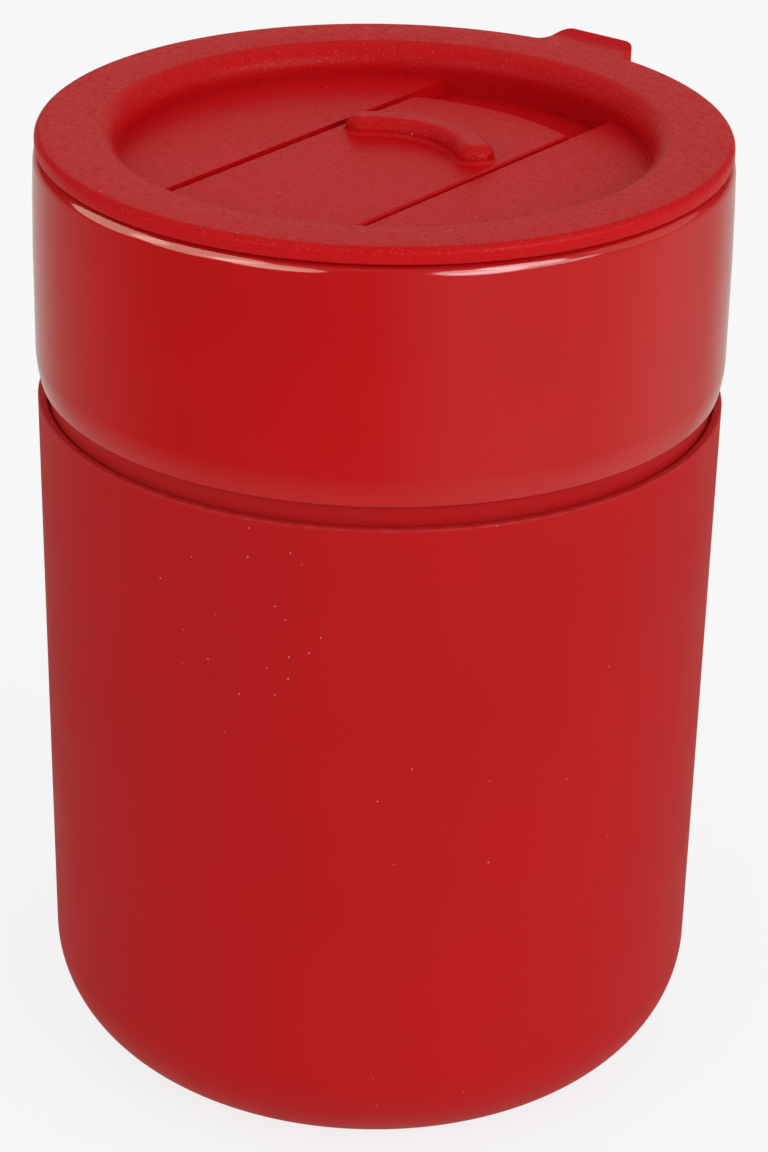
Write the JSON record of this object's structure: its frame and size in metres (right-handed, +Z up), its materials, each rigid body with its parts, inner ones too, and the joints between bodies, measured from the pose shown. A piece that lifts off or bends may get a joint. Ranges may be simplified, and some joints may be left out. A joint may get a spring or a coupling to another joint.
{
  "type": "lidded mug",
  "caption": "Handleless ceramic mug in a silicone sleeve, closed by a plug lid with a sliding drink cover, a thumb ridge and a pull tab.",
  "frame": {"origin": "on the mug's axis, at the middle of the flat underside of the sleeve", "axes": "+Z up along the mug's axis, -Y towards the drinking side of the lid, +Y towards the pull tab"},
  "size_m": [0.0832, 0.0859, 0.121],
  "materials": {
    "sleeve_silicone": "matte moulded silicone",
    "cup_glaze": "glossy glaze",
    "lid_plastic": "fine matte texture",
    "seal_silicone": "smooth silicone",
    "slider_plastic": "fine matte texture"
  },
  "bodies": {
    "sleeve": {"silicone_sleeve": "sleeve_silicone"},
    "cup": {"ceramic_cup": "cup_glaze"},
    "lid": {"lid_body": "lid_plastic", "lid_seal_ring": "seal_silicone"},
    "slider": {"lid_slider": "slider_plastic"}
  },
  "joints": [
    {"name": "cup_lift", "type": "slide", "parent": "sleeve", "child": "cup", "axis": [0, 0, 1], "range_m": [0, 0.1]},
    {"name": "lid_lift", "type": "slide", "parent": "cup", "child": "lid", "axis": [0, 0, 1], "range_m": [0, 0.06]},
    {"name": "slider_open", "type": "slide", "parent": "lid", "child": "slider", "axis": [0, 1, 0], "range_m": [0, 0.0078]}
  ]
}
